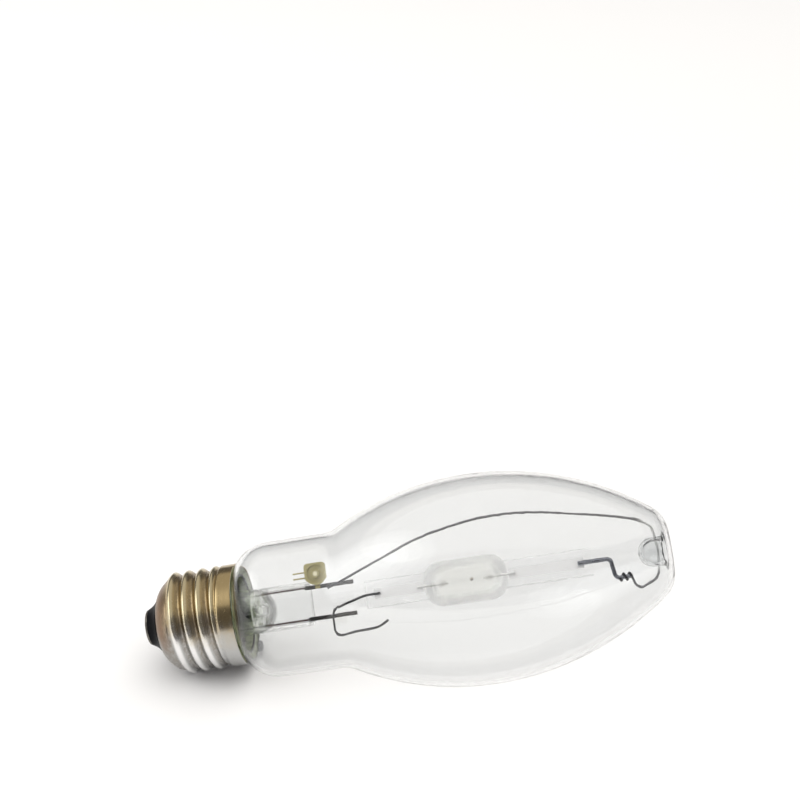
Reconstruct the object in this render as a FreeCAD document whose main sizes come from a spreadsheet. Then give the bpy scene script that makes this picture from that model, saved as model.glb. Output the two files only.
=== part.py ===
import FreeCAD, Part
import math
import os

import Sketcher
from FreeCAD import Placement, Rotation, Vector

# The lamp is drawn along its own axis first: X runs from the centre contact to the dome, and the plane of
# the two posts is XZ, with post A on the +Z side. At the end every piece gets the same placement, which
# lays the lamp down on its first thread crest and its belly, as it comes to rest on a table.

SIZES = {
    # cap
    "contact_radius": 4.6,
    "contact_solder_radius": 3.0,
    "contact_solder_height": 0.35,
    "contact_solder_flat": 1.2,
    "contact_plate_height": 0.6,
    "eyelet_radius": 1.7,
    "eyelet_bore": 0.8,
    "eyelet_depth": 2.0,
    "insulator_tip_radius": 4.9,
    "insulator_cone_height": 3.1,
    "insulator_cone_curve": 6.8,
    "insulator_edge": 0.3,
    "insulator_depth": 7.4,
    "flange_gap": 0.4,
    "flange_rise": 0.5,
    "flange_inset": 1.15,
    "shell_bottom": 4.3,
    "shell_mouth_radius": 7.7,
    "shell_shoulder": 3.7,
    "shell_length": 25.4,
    "shell_wall": 0.3,
    "thread_pitch": 3.62,
    "thread_crest_radius": 13.15,
    "thread_root_radius": 12.05,
    "first_crest": 9.0,
    "thread_start": 7.26,
    "rim_radius": 13.05,
    "rim_band": 3.6,
    "cement_length": 3.0,
    "cement_setback": 0.4,
    "seat_gap": 0.02,
    # outer bulb
    "overall_length": 136.0,
    "glass_wall": 1.0,
    "seal_radius": 10.8,
    "seal_station": 12.5,
    "neck_radius": 17.35,
    "shoulder_share": 1.313,
    "shoulder_depth": 0.7,
    "neck_length": 15.0,
    "waist_radius": 9.0,
    "belly_radius": 26.7,
    "belly_share": 0.437,
    "dome_corner_radius": 7.5,
    "dome_corner_centre": 5.2,
    "dimple_bore": 2.7,
    "dimple_depth": 7.4,
    "dimple_lip": 1.0,
    "dimple_root": 1.4,
    # stem
    "flare_lip": 1.0,
    "flare_wall": 1.2,
    "flare_arc": 34.0,
    "flare_clearance": 0.1,
    "stem_neck_radius": 5.8,
    "stem_neck_station": 30.0,
    "stem_floor": 28.5,
    "stem_crown_height": 4.2,
    "stem_crown_curve": 5.2,
    "press_end": 43.9,
    "mount_room": 92.1,
    "press_width": 11.4,
    "press_thickness": 4.4,
    "press_round": 0.8,
    "exhaust_radius": 2.3,
    "exhaust_wall": 0.7,
    "exhaust_length": 19.0,
    "exhaust_bore_rise": 2.4,
    "exhaust_port_radius": 1.1,
    # leads and posts
    "post_height": 4.0,
    "post_radius": 0.5,
    "post_length": 11.2,
    "post_embedment": 1.4,
    "press_lead_radius": 0.22,
    "outer_lead_radius": 0.18,
    "outer_lead_embedment": 2.4,
    "bend_length": 1.0,
    # arc tube
    "chamber_rise": 29.5,
    "chamber_length": 21.0,
    "chamber_radius": 5.75,
    "chamber_wall": 1.1,
    "chamber_neck_radius": 2.4,
    "chamber_shoulder": 4.4,
    "bore_neck_radius": 1.74,
    "bore_shoulder": 3.85,
    "bore_setback": 1.43,
    "pinch_width": 7.1,
    "pinch_thickness": 3.0,
    "pinch_corner": 0.9,
    "pinch_lap": 2.2,
    "base_pinch_length": 15.3,
    "dome_pinch_length": 21.6,
    "foil_width": 2.6,
    "foil_thickness": 0.1,
    "foil_lap": 1.5,
    "rod_radius": 0.3,
    "rod_reach": 4.6,
    "rod_embedment": 3.4,
    "coil_wire_radius": 0.17,
    "coil_turns": 4,
    "coil_setback": 0.9,
    "arc_lead_radius": 0.5,
    "arc_lead_embedment": 3.6,
    "base_lead_radius": 0.28,
    "dome_lead_reach": 4.6,
    "dome_lead_slant": 0.6,
    "lead_bend": 1.2,
    "bead_radius": 0.45,
    "bead_offset": 1.8,
    # frame wire, end wire and getter
    "wire_radius": 0.3,
    "wrap_pitch": 1.5,
    "wrap_drop": 5.0,
    "wrap_tail": 2.6,
    "wrap_length": 4.2,
    "getter_offset": 2.1,
    "getter_rise": 3.3,
    "getter_width": 5.7,
    "getter_length": 5.9,
    "getter_height": 0.8,
    "getter_corner": 1.0,
    "getter_flank": 1.14,
    "getter_foot_curve": 3.84,
    "getter_rim": 0.5,
    "getter_moat_depth": 0.4,
    "getter_boss_radius": 1.1,
    "getter_boss_height": 0.5,
    "tab_width": 1.4,
    "tab_thickness": 0.2,
    "prong_radius": 0.2,
    "prong_pitch": 1.4,
    "prong_reach": 3.2,
    "prong_lap": 1.25,
    # side solder
    "solder_radius": 2.3,
    "solder_reach": 2.6,
    "solder_height": 1.15,
    "solder_setback": 0.9,
    "solder_rise": 0.35,
    # how far the side solder is round the rim from the +Y side, in degrees
    "solder_turn": 45.0,
    # how the mount is turned about the lamp's axis as the lamp lies, in degrees
    "mount_roll": 32.5,
}

document = FreeCAD.newDocument("discharge_lamp")
sheet = document.addObject("Spreadsheet::Sheet", "Sizes")
for row, (alias, value) in enumerate(SIZES.items(), start=1):
    sheet.set(f"A{row}", alias)
    sheet.set(f"B{row}", str(value))
    sheet.setAlias(f"B{row}", alias)
document.recompute()


class Size:
    """A length that carries both its number and the sheet expression that gives it."""

    def __init__(self, value, text):
        self.value = value
        self.text = text

    def __add__(self, other):
        other = as_size(other)
        return Size(self.value + other.value, f"({self.text} + {other.text})")

    def __radd__(self, other):
        return as_size(other) + self

    def __sub__(self, other):
        other = as_size(other)
        return Size(self.value - other.value, f"({self.text} - {other.text})")

    def __rsub__(self, other):
        return as_size(other) - self

    def __mul__(self, other):
        other = as_size(other)
        return Size(self.value * other.value, f"({self.text} * {other.text})")

    def __rmul__(self, other):
        return as_size(other) * self

    def __truediv__(self, other):
        other = as_size(other)
        return Size(self.value / other.value, f"({self.text} / {other.text})")

    def __neg__(self):
        return 0 - self


def as_size(thing):
    return thing if isinstance(thing, Size) else Size(float(thing), repr(float(thing)))


def root(square):
    return Size(math.sqrt(square.value), f"sqrt({square.text})")


def size(alias):
    return Size(float(sheet.get(alias)), f"Sizes.{alias}")


def number(alias):
    return float(sheet.get(alias))


def bind(thing, name, length):
    """Give a property its number and the expression that keeps it tied to the sheet."""
    length = as_size(length)
    if not name.startswith("AttachmentOffset"):
        setattr(thing, name, length.value)
    thing.setExpression(name, length.text)


def new_body(label):
    body = document.addObject("PartDesign::Body", label)
    body.Label = label
    return body


def new_sketch(body, plane, offset=0.0):
    """An empty sketch on one of the body's own origin planes, moved along its normal by offset."""
    support = [feature for feature in body.Origin.OriginFeatures if feature.Role == plane][0]
    sketch = body.newObject("Sketcher::SketchObject", body.Label + "_sketch")
    sketch.AttachmentSupport = [(support, "")]
    sketch.MapMode = "FlatFace"
    offset = as_size(offset)
    if offset.value:
        sketch.AttachmentOffset = Placement(Vector(0, 0, offset.value), Rotation())
        bind(sketch, "AttachmentOffset.Base.z", offset)
    return sketch


def add_dimension(sketch, kind, places, length):
    index = sketch.addConstraint(Sketcher.Constraint(kind, *places, length.value))
    sketch.setExpression(f"Constraints[{index}]", length.text)


def pin_point(sketch, edge, end, across, up):
    """Fix one point of an edge by its two distances from the sketch's origin."""
    for kind, axis, length in (("DistanceX", -2, as_size(across)), ("DistanceY", -1, as_size(up))):
        if abs(length.value) < 1e-9:
            sketch.addConstraint(Sketcher.Constraint("PointOnObject", edge, end, axis))
        elif length.value > 0:
            add_dimension(sketch, kind, (-1, 1, edge, end), length)
        else:
            add_dimension(sketch, kind, (edge, end, -1, 1), -length)


def arc_between(start, finish, radius, side):
    """The shorter arc from start to finish, with its centre left (1) or right (-1) of the way."""
    middle = (start + finish) * 0.5
    way = finish - start
    left = Vector(-way.y, way.x, 0).normalize()
    reach = math.sqrt(max(radius ** 2 - (way.Length / 2) ** 2, 0.0))
    centre = middle + left * (side * reach)
    first, last = (start, finish) if side > 0 else (finish, start)
    angle = [math.atan2(point.y - centre.y, point.x - centre.x) for point in (first, last)]
    return Part.ArcOfCircle(Part.Circle(centre, Vector(0, 0, 1), radius), angle[0], angle[1])


def draw_outline(sketch, corners):
    """Draw a closed outline. A corner is (x, y), or (x, y, radius, side) where an arc leads to it."""
    corners = [tuple(as_size(item) for item in corner[:3]) + tuple(corner[3:]) for corner in corners]
    ends = []
    for index, corner in enumerate(corners):
        before = corners[index - 1]
        start = Vector(before[0].value, before[1].value, 0)
        finish = Vector(corner[0].value, corner[1].value, 0)
        if len(corner) == 2:
            edge = sketch.addGeometry(Part.LineSegment(start, finish))
            ends.append((edge, 1, 2))
            continue
        edge = sketch.addGeometry(arc_between(start, finish, corner[2].value, corner[3]))
        ends.append((edge, 1, 2) if corner[3] > 0 else (edge, 2, 1))
    for index, corner in enumerate(corners):
        edge, first, last = ends[index]
        following = ends[(index + 1) % len(ends)]
        sketch.addConstraint(Sketcher.Constraint("Coincident", edge, last, following[0], following[1]))
        pin_point(sketch, edge, last, corner[0], corner[1])
        if len(corner) > 2:
            add_dimension(sketch, "Radius", (edge,), corner[2])


def draw_circle(sketch, across, up, radius):
    across, up, radius = as_size(across), as_size(up), as_size(radius)
    circle = Part.Circle(Vector(across.value, up.value, 0), Vector(0, 0, 1), radius.value)
    edge = sketch.addGeometry(circle)
    pin_point(sketch, edge, 3, across, up)
    add_dimension(sketch, "Radius", (edge,), radius)


def revolve(body, corners, kind="Revolution"):
    """Turn an outline drawn in XZ once round the lamp's axis, to add it or to take it away."""
    sketch = new_sketch(body, "XZ_Plane")
    draw_outline(sketch, corners)
    turned = body.newObject(f"PartDesign::{kind}", f"{body.Label}_{kind.lower()}")
    turned.Profile = sketch
    turned.ReferenceAxis = (sketch, ["H_Axis"])
    turned.Angle = 360.0
    return turned


def turned_piece(label, corners):
    body = new_body(label)
    revolve(body, corners)
    return body


def pad(body, sketch, length, both_ways=False):
    feature = body.newObject("PartDesign::Pad", f"{body.Label}_pad")
    feature.Profile = sketch
    bind(feature, "Length", length)
    feature.Midplane = both_ways
    return feature


def straight_rod(label, start, finish, across, up, radius):
    """A round rod along X from start to finish."""
    body = new_body(label)
    sketch = new_sketch(body, "YZ_Plane", start)
    draw_circle(sketch, across, up, radius)
    pad(body, sketch, as_size(finish) - start)
    return body


# How much of the shorter run at a bend goes into its arc, and the largest arc that a bend gets, in mm.
ROUNDED_SHARE = 0.45
LARGEST_BEND = 60.0


def rounded_path(points, largest=LARGEST_BEND):
    """Straight runs joined by tangent arcs, each as large as its two runs allow."""
    edges = []
    reached = points[0]
    for before, corner, after in zip(points, points[1:], points[2:]):
        way_in = (before - corner).normalize()
        way_out = (after - corner).normalize()
        half_turn = (math.pi - way_in.getAngle(way_out)) / 2
        run = ROUNDED_SHARE * min((before - corner).Length, (after - corner).Length)
        run = min(run, largest * math.tan(half_turn))
        start = corner + way_in * run
        finish = corner + way_out * run
        radius = run / math.tan(half_turn)
        inward = (way_in + way_out).normalize()
        middle = corner + inward * (radius / math.cos(half_turn) - radius)
        edges.append(Part.LineSegment(reached, start).toShape())
        edges.append(Part.Arc(start, middle, finish).toShape())
        reached = finish
    edges.append(Part.LineSegment(reached, points[-1]).toShape())
    return edges


def round_wire(edges, radius):
    """Sweep a round section along a path of tangent edges."""
    path = Part.Wire(edges)
    first = path.OrderedEdges[0]
    start = first.valueAt(first.FirstParameter)
    section = Part.Wire(Part.makeCircle(radius, start, first.tangentAt(first.FirstParameter)))
    return path.makePipeShell([section], True, False)


def formed_piece(label, shape):
    piece = document.addObject("Part::Feature", label)
    piece.Label = label
    piece.Shape = shape
    return piece


def smooth(share):
    """Rise from 0 to 1 with a level start and finish."""
    share = min(max(share, 0.0), 1.0)
    return share * share * (3 - 2 * share)


# Centre contact: the solder fills the eyelet and domes over it. Its worn top is the lamp's end, at X = 0.
solder_radius = size("contact_solder_radius")
solder_height = size("contact_solder_height")
plate_face = solder_height
plate_back = plate_face + size("contact_plate_height")
contact_edge = size("contact_plate_height") * 0.5
eyelet_end = plate_back + size("eyelet_depth")
bore = size("eyelet_bore")
solder_flat = size("contact_solder_flat")
solder_centre = (solder_radius * solder_radius + solder_height * solder_height
                 - solder_flat * solder_flat) / (2 * solder_height)
solder_curve = root(solder_centre * solder_centre + solder_flat * solder_flat)

contact_plate = turned_piece("contact_plate", [
    (plate_face, bore),
    (plate_face, size("contact_radius") - contact_edge),
    (plate_face + contact_edge, size("contact_radius"), contact_edge, -1),
    (plate_back, size("contact_radius")),
    (plate_back, size("eyelet_radius")),
    (eyelet_end, size("eyelet_radius")),
    (eyelet_end, bore),
])

contact_solder_whole = turned_piece("contact_solder_whole", [
    (0, 0),
    (0, solder_flat),
    (solder_height, solder_radius, solder_curve, -1),
    (solder_height, bore),
    (plate_back, bore),
    (plate_back, 0),
])

# Insulator: black glass cast into the bottom of the shell. The cone shows, the flange is inside.
cone_end = plate_back + size("insulator_cone_height")
waist = size("shell_mouth_radius") - size("seat_gap")
edge = size("insulator_edge")
flange_start = size("shell_bottom") + size("shell_wall") + size("flange_gap")
insulator_whole = turned_piece("insulator_whole", [
    (plate_back, size("eyelet_radius") + size("seat_gap")),
    (plate_back, size("insulator_tip_radius") - edge),
    (plate_back + edge, size("insulator_tip_radius"), edge, -1),
    (cone_end, waist, size("insulator_cone_curve"), 1),
    (flange_start, waist),
    (flange_start, waist + size("flange_rise")),
    (size("insulator_depth"), size("thread_root_radius") - size("flange_inset")),
    (size("insulator_depth"), size("eyelet_radius") + size("seat_gap")),
])

# Screw shell: thin sheet, drawn to a cup and rolled. Its wall is a surface that waves along a right-hand
# helix. The wave runs out into the drawn shoulder at one end and into the plain rim band at the other.
SHOULDER_ROWS = 9
ROWS_PER_PITCH = 12
COLUMNS = 24
# How much of a pitch the crest's own line takes to rise from where it starts, the thread to fade at the
# rim, and the root to widen into the rim band.
RISE_RUN = 0.167
FADE_RUN = 0.45
BAND_RUN = 0.3


def shell_rows():
    """The stations along the shell, each with its root radius and how far the thread stands out there."""
    start = number("shell_bottom")
    length = number("shell_shoulder")
    rise = number("thread_root_radius") - number("shell_mouth_radius")
    rows = []
    for index in range(SHOULDER_ROWS):
        turn = math.pi / 2 * index / SHOULDER_ROWS
        bulge = 0.5 * math.sin(turn) + 0.5 * (1 - math.cos(turn))
        station = start + length * (1 - math.cos(turn))
        depth = number("thread_crest_radius") - number("thread_root_radius")
        to_thread = smooth((station - start) / length)
        rows.append((station, number("shell_mouth_radius") + rise * bulge, depth * to_thread))
    thread_start = start + length
    rim_end = number("shell_length")
    band_start = rim_end - number("rim_band")
    pitch = number("thread_pitch")
    count = max(round((rim_end - thread_start) / pitch * ROWS_PER_PITCH), 8)
    for index in range(count + 1):
        station = thread_start + (rim_end - thread_start) * index / count
        to_band = smooth((station - band_start) / (BAND_RUN * pitch) + 1)
        root_radius = number("thread_root_radius")
        root_radius += (number("rim_radius") - root_radius) * to_band
        run_out = 1 - smooth((station - band_start) / (FADE_RUN * pitch) + 1)
        depth = number("thread_crest_radius") - root_radius
        rows.append((station, root_radius, depth * run_out))
    return rows


def shell_wall_points(inset):
    """Rows of (station, radius) round the shell, set in from its outside by the wall."""
    pitch = number("thread_pitch")
    outside = []
    for station, root_radius, depth in shell_rows():
        row = []
        for column in range(COLUMNS):
            angle = 2 * math.pi * column / COLUMNS
            crest_at = number("first_crest") + pitch * (angle / (2 * math.pi) - 0.25)
            turns_up = (station - crest_at) / pitch
            nearest_crest = crest_at + pitch * round(turns_up)
            rise = smooth((nearest_crest - number("thread_start")) / (RISE_RUN * pitch))
            wave = 0.5 + 0.5 * math.cos(2 * math.pi * turns_up)
            row.append((station, root_radius + depth * rise * wave))
        outside.append(row)
    moved = []
    for index, row in enumerate(outside):
        ahead = outside[min(index + 1, len(outside) - 1)]
        behind = outside[max(index - 1, 0)]
        line = []
        for column, (station, radius) in enumerate(row):
            along = ahead[column][0] - behind[column][0]
            outward = ahead[column][1] - behind[column][1]
            if index == 0:
                along = 0.0
            if index == len(outside) - 1:
                outward = 0.0
            slant = math.hypot(along, outward)
            line.append((station + inset * outward / slant, radius - inset * along / slant))
        moved.append(line)
    return moved


def rolled_face(rows):
    """A smooth face through rows of points. The poles stand off by what the spline would cut away."""
    points = [[Vector(station, radius * math.cos(2 * math.pi * column / COLUMNS),
                      radius * math.sin(2 * math.pi * column / COLUMNS))
               for column, (station, radius) in enumerate(row)] for row in rows]
    last = len(points) - 1
    round_poles = [[point * (4 / 3) - (row[column - 1] + row[(column + 1) % COLUMNS]) * (1 / 6)
                    for column, point in enumerate(row)] for row in points]
    poles = [row if index in (0, last) else
             [point * (4 / 3) - (round_poles[index - 1][column] + round_poles[index + 1][column]) * (1 / 6)
              for column, point in enumerate(row)] for index, row in enumerate(round_poles)]
    spans = len(poles) - 3
    surface = Part.BSplineSurface()
    surface.buildFromPolesMultsKnots(
        poles, [4] + [1] * (spans - 1) + [4], [1] * (COLUMNS + 1),
        [float(knot) for knot in range(spans + 1)], [float(knot) for knot in range(COLUMNS + 1)],
        False, True, 3, 3)
    return surface.toShape()


def end_ring(one, other, station):
    """The narrow face that closes the wall at the end nearest to station."""
    rims = []
    for face in (one, other):
        closed = [edge for edge in face.Edges if edge.isClosed()]
        rims.append(min(closed, key=lambda edge: abs(edge.CenterOfMass.x - station)))
    return Part.makeRuledSurface(rims[0], rims[1])


outer_face = rolled_face(shell_wall_points(0.0))
inner_face = rolled_face(shell_wall_points(number("shell_wall")))
wall = Part.makeShell([outer_face, inner_face,
                       end_ring(outer_face, inner_face, number("shell_bottom")),
                       end_ring(outer_face, inner_face, number("shell_length"))])
wall.sewShape()
shell_solid = Part.makeSolid(wall)
if shell_solid.Volume < 0:
    shell_solid.reverse()
screw_shell = formed_piece("screw_shell", shell_solid)

# Outer bulb: one blown piece. Its neck goes down into the cap, and the blunt dome is pushed in to a dimple.
glass = size("glass_wall")
length = size("overall_length")
corner_radius = size("dome_corner_radius")
corner_centre = size("dome_corner_centre")
neck_rises = size("neck_radius") - size("seal_radius")
shoulder_rise = neck_rises * size("shoulder_share")
neck_start = size("shell_length") + shoulder_rise
waist_station = neck_start + size("neck_length")
belly_station = waist_station + (length - waist_station) * size("belly_share")

# The shoulder's arc ends level with the neck. The belly's two arcs are level where they meet, one ends in
# the waist's arc and the other in the corner of the dome, and those conditions give the three radii.
shoulder_run = shoulder_rise + size("shoulder_depth")
neck_shoulder = (neck_rises * neck_rises + shoulder_run * shoulder_run) / (2 * neck_rises)
shoulder_centre = size("neck_radius") - neck_shoulder
waist_height = size("neck_radius") + size("waist_radius") - size("belly_radius")
waist_run = belly_station - waist_station
belly_base_arc = (waist_run * waist_run + waist_height * waist_height
                  - size("waist_radius") * size("waist_radius")
                  ) / (2 * (size("belly_radius") - size("neck_radius")))
corner_offset = length - corner_radius - belly_station
corner_drop = size("belly_radius") - corner_centre
belly_dome_arc = (corner_offset * corner_offset + corner_drop * corner_drop
                  - corner_radius * corner_radius) / (2 * (corner_drop - corner_radius))
belly_base_centre = size("belly_radius") - belly_base_arc
belly_dome_centre = size("belly_radius") - belly_dome_arc
waist_rise = size("neck_radius") + size("waist_radius") - belly_base_centre
waist_span = belly_base_arc + size("waist_radius")
corner_span = belly_dome_arc - corner_radius


def bulb_side(inset):
    """The bulb's wall from the seal to the flat of the dome, set in by inset, as its points in order."""
    shoulder_radius = neck_shoulder - inset
    drop = size("seal_radius") - inset - shoulder_centre
    shoulder_station = neck_start - root(shoulder_radius * shoulder_radius - drop * drop)
    base_arc = belly_base_arc - inset
    share = base_arc / waist_span
    waist_x = belly_station - waist_run * share
    waist_y = belly_base_centre + waist_rise * share
    dome_arc = belly_dome_arc - inset
    share = dome_arc / corner_span
    corner_x = belly_station + corner_offset * share
    corner_y = belly_dome_centre + (corner_centre - belly_dome_centre) * share
    return [
        (size("seal_station"), size("seal_radius") - inset),
        (shoulder_station, size("seal_radius") - inset),
        (neck_start, size("neck_radius") - inset, shoulder_radius, -1),
        (waist_station, size("neck_radius") - inset),
        (waist_x, waist_y, size("waist_radius") + inset, 1),
        (belly_station, size("belly_radius") - inset, base_arc, -1),
        (corner_x, corner_y, dome_arc, -1),
        (length - inset, corner_centre, corner_radius - inset, -1),
    ]


def walked_back(corners):
    """The same outline walked the other way, which moves each arc to the corner before it."""
    result = []
    for index in range(len(corners) - 1, -1, -1):
        arc = corners[index + 1][2:] if index + 1 < len(corners) else ()
        arc = (arc[0], -arc[1]) if arc else ()
        result.append(tuple(corners[index][:2]) + arc)
    return result


dimple_centre = length - size("dimple_depth") + size("dimple_bore")
nub_radius = size("dimple_bore") + glass
envelope = turned_piece("envelope", bulb_side(0) + [
    (length, size("dimple_bore") + size("dimple_lip")),
    (length - size("dimple_lip"), size("dimple_bore"), size("dimple_lip"), -1),
    (dimple_centre, size("dimple_bore")),
    (dimple_centre - size("dimple_bore"), 0, size("dimple_bore"), 1),
    (dimple_centre - nub_radius, 0),
    (dimple_centre, nub_radius, nub_radius, -1),
    (length - glass - size("dimple_root"), nub_radius),
    (length - glass, nub_radius + size("dimple_root"), size("dimple_root"), 1),
] + walked_back(bulb_side(glass)))

# The space that the bulb takes up, glass and inside. It trims the solder that flows against the bulb.
bulb_space = turned_piece("bulb_space", bulb_side(0) + [(length, 0), (size("seal_station"), 0)])

# Basing cement: a ring between the plain rim band and the neck, with a groove for the side lead.
band_bore = size("rim_radius") - size("shell_wall")
cement_end = size("shell_length") - size("cement_setback")
cement_face = band_bore - size("seat_gap")
cement_start = cement_end - size("cement_length")
cement_reach = neck_start - cement_end
cement_lip = shoulder_centre + root(neck_shoulder * neck_shoulder - cement_reach * cement_reach)
cement_whole = turned_piece("basing_cement_whole", [
    (cement_start, size("seal_radius")),
    (neck_start - shoulder_run, size("seal_radius")),
    (cement_end, cement_lip, neck_shoulder, -1),
    (cement_end, cement_face),
    (cement_start, cement_face),
])

# Stem: a bell-shaped flare sealed to the end of the neck, pinched at the top to a flat press.
flare_mouth = size("seal_radius") - glass - size("flare_clearance")
lip_start = size("seal_station") - size("flare_lip")
stem_whole = new_body("stem_whole")
revolve(stem_whole, [
    (lip_start, flare_mouth - size("flare_wall")),
    (lip_start, size("seal_radius")),
    (size("seal_station"), size("seal_radius")),
    (size("seal_station"), flare_mouth),
    (size("stem_neck_station"), size("stem_neck_radius"), size("flare_arc"), 1),
    (size("stem_neck_station") + size("stem_crown_height"), 0, size("stem_crown_curve"), -1),
    (size("stem_floor"), 0),
    (size("stem_floor"), size("stem_neck_radius") - size("flare_wall")),
])
half_thickness = size("press_thickness") * 0.5
half_press = size("press_width") * 0.5
press_sketch = new_sketch(stem_whole, "YZ_Plane", size("stem_neck_station"))
draw_outline(press_sketch, [
    (half_thickness, half_press - half_thickness),
    (0, half_press, half_thickness, 1),
    (-half_thickness, half_press - half_thickness, half_thickness, 1),
    (-half_thickness, half_thickness - half_press),
    (0, -half_press, half_thickness, 1),
    (half_thickness, half_thickness - half_press, half_thickness, 1),
])
press_block = pad(stem_whole, press_sketch, size("press_end") - size("stem_neck_station"))
document.recompute()
press_rim = [f"Edge{index + 1}" for index, edge in enumerate(press_block.Shape.Edges)
             if all(abs(vertex.X - number("press_end")) < 1e-4 for vertex in edge.Vertexes)]
press_round = stem_whole.newObject("PartDesign::Fillet", "press_round")
press_round.Base = (press_block, press_rim)
bind(press_round, "Radius", size("press_round"))
exhaust_bore = size("exhaust_radius") - size("exhaust_wall")
bore_end = size("stem_neck_station") + size("exhaust_bore_rise")
revolve(stem_whole, [
    (size("stem_floor"), 0),
    (size("stem_floor"), exhaust_bore),
    (bore_end - exhaust_bore, exhaust_bore),
    (bore_end, 0, exhaust_bore, -1),
], "Groove")
port_sketch = new_sketch(stem_whole, "XZ_Plane")
draw_circle(port_sketch, bore_end - exhaust_bore, 0, size("exhaust_port_radius"))
port = stem_whole.newObject("PartDesign::Pocket", "exhaust_port")
port.Profile = port_sketch
bind(port, "Length", size("stem_neck_radius") + size("exhaust_port_radius"))
port.Reversed = True

# Exhaust tube: drawn off and sealed after the bulb was pumped, so its end is a rounded tip in the cap.
tube_start = size("stem_floor") - size("exhaust_length")
exhaust_tube = turned_piece("exhaust_tube", [
    (tube_start, 0),
    (tube_start + size("exhaust_radius"), size("exhaust_radius"), size("exhaust_radius"), -1),
    (size("stem_floor"), size("exhaust_radius")),
    (size("stem_floor"), exhaust_bore),
    (tube_start + size("exhaust_radius"), exhaust_bore),
    (tube_start + size("exhaust_wall"), 0, exhaust_bore, 1),
])

# Leads in the press and the thick posts above it.
post_start = size("press_end") - size("post_embedment")
post_end = size("press_end") + size("post_length")
post_height = size("post_height")
lead_start = size("stem_floor") + size("outer_lead_embedment")
inner_leads = []
press_leads = []
for letter, side in (("a", 1), ("b", -1)):
    inner_leads.append(straight_rod(f"inner_lead_{letter}", post_start, post_end,
                                    0, side * post_height, size("post_radius")))
    press_leads.append(straight_rod(f"press_lead_{letter}", lead_start, post_start,
                                    0, side * post_height, size("press_lead_radius")))

def around(station, radius, turn):
    """A point at a radius from the lamp's axis, turned from the +Y side towards +Z by so many degrees."""
    turn = math.radians(turn)
    return Vector(station, radius * math.cos(turn), radius * math.sin(turn))


# Outer lead A goes round the end of the neck and up between neck and shell to the side solder at the rim.
# The bends of this and every other formed wire are points on one grid, and follow the real lamp's.
grid = number("bend_length")
lead_radius = number("outer_lead_radius")
post_a = number("post_height")
solder_turn = -number("solder_turn")
gap_radius = (number("seal_radius") + number("thread_root_radius") - number("shell_wall")) / 2
rim_lead_radius = cement_face.value - lead_radius - number("seat_gap")
rim_station = number("shell_length")
outer_lead_a = formed_piece("outer_lead_a", round_wire(rounded_path([
    Vector(lead_start.value, 0, post_a),
    Vector(number("stem_floor"), 0, post_a),
    Vector(24.5, 0.3, 4.3) * grid,
    Vector(14.5, 1.6, 6.3) * grid,
    around(10.3 * grid, 7.7 * grid, 42),
    around(9.6 * grid, 9.6 * grid, 3),
    around(9.8 * grid, 10.5 * grid, solder_turn + 19),
    around(11.1 * grid, gap_radius, solder_turn),
    around(rim_station - 3.0 * grid, gap_radius, solder_turn),
    around(rim_station - 1.8 * grid, rim_lead_radius, solder_turn),
    around(rim_station - number("seat_gap"), rim_lead_radius, solder_turn),
]), lead_radius))

# Outer lead B runs down beside the exhaust tube and through the insulator to the centre contact.
outer_lead_b = formed_piece("outer_lead_b", round_wire(rounded_path([
    Vector(lead_start.value, 0, -post_a),
    Vector(number("stem_floor"), 0, -post_a),
    Vector(24.5, 0, -4.3) * grid,
    Vector(13.5, 0, -4.0) * grid,
    Vector(8.9, 0, -2.0) * grid,
    Vector(7.1, 0, 0) * grid,
    Vector(plate_back.value / 2, 0, 0),
]), lead_radius))

# Stations above the press stretch with the room there is between the press and the dome.
stretch = (length - size("press_end")) / size("mount_room")


def above_press(distance):
    return size("press_end") + as_size(distance) * stretch


# Arc tube: quartz, one solid. A round chamber with a flat pinch at each end.
chamber_start = above_press(size("chamber_rise"))
chamber_length = size("chamber_length") * stretch
chamber_end = chamber_start + chamber_length
chamber_turn = size("chamber_shoulder")
chamber_middle = chamber_start + chamber_length * 0.5
chamber_rises = size("chamber_radius") - size("chamber_neck_radius")
shoulder_arc = (chamber_turn * chamber_turn + chamber_rises * chamber_rises) / (2 * chamber_rises)
bore_radius = size("chamber_radius") - size("chamber_wall")
bore_neck = size("bore_neck_radius")
bore_rise = bore_radius - bore_neck
bore_turn = size("bore_shoulder")
bore_arc = (bore_turn * bore_turn + bore_rise * bore_rise) / (2 * bore_rise)
bore_start = chamber_start + size("bore_setback")
bore_finish = chamber_end - size("bore_setback")
quartz = new_body("quartz_whole")
revolve(quartz, [
    (chamber_start, 0),
    (chamber_start, size("chamber_neck_radius")),
    (chamber_start + chamber_turn, size("chamber_radius"), shoulder_arc, -1),
    (chamber_end - chamber_turn, size("chamber_radius")),
    (chamber_end, size("chamber_neck_radius"), shoulder_arc, -1),
    (chamber_end, 0),
])
half_pinch = size("pinch_width") * 0.5
pinch_round = size("pinch_corner")
pinch_starts = {"base": chamber_start - size("base_pinch_length") * stretch,
                "dome": chamber_end - size("pinch_lap")}
pinch_ends = {"base": chamber_start + size("pinch_lap"),
              "dome": chamber_end + size("dome_pinch_length") * stretch}
for end in ("base", "dome"):
    flat = size("pinch_thickness") * 0.5
    pinch_sketch = new_sketch(quartz, "YZ_Plane", pinch_starts[end])
    draw_outline(pinch_sketch, [
        (flat, half_pinch - pinch_round),
        (flat - pinch_round, half_pinch, pinch_round, 1),
        (pinch_round - flat, half_pinch),
        (-flat, half_pinch - pinch_round, pinch_round, 1),
        (-flat, pinch_round - half_pinch),
        (pinch_round - flat, -half_pinch, pinch_round, 1),
        (flat - pinch_round, -half_pinch),
        (flat, pinch_round - half_pinch, pinch_round, 1),
    ])
    pad(quartz, pinch_sketch, pinch_ends[end] - pinch_starts[end])
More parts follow.
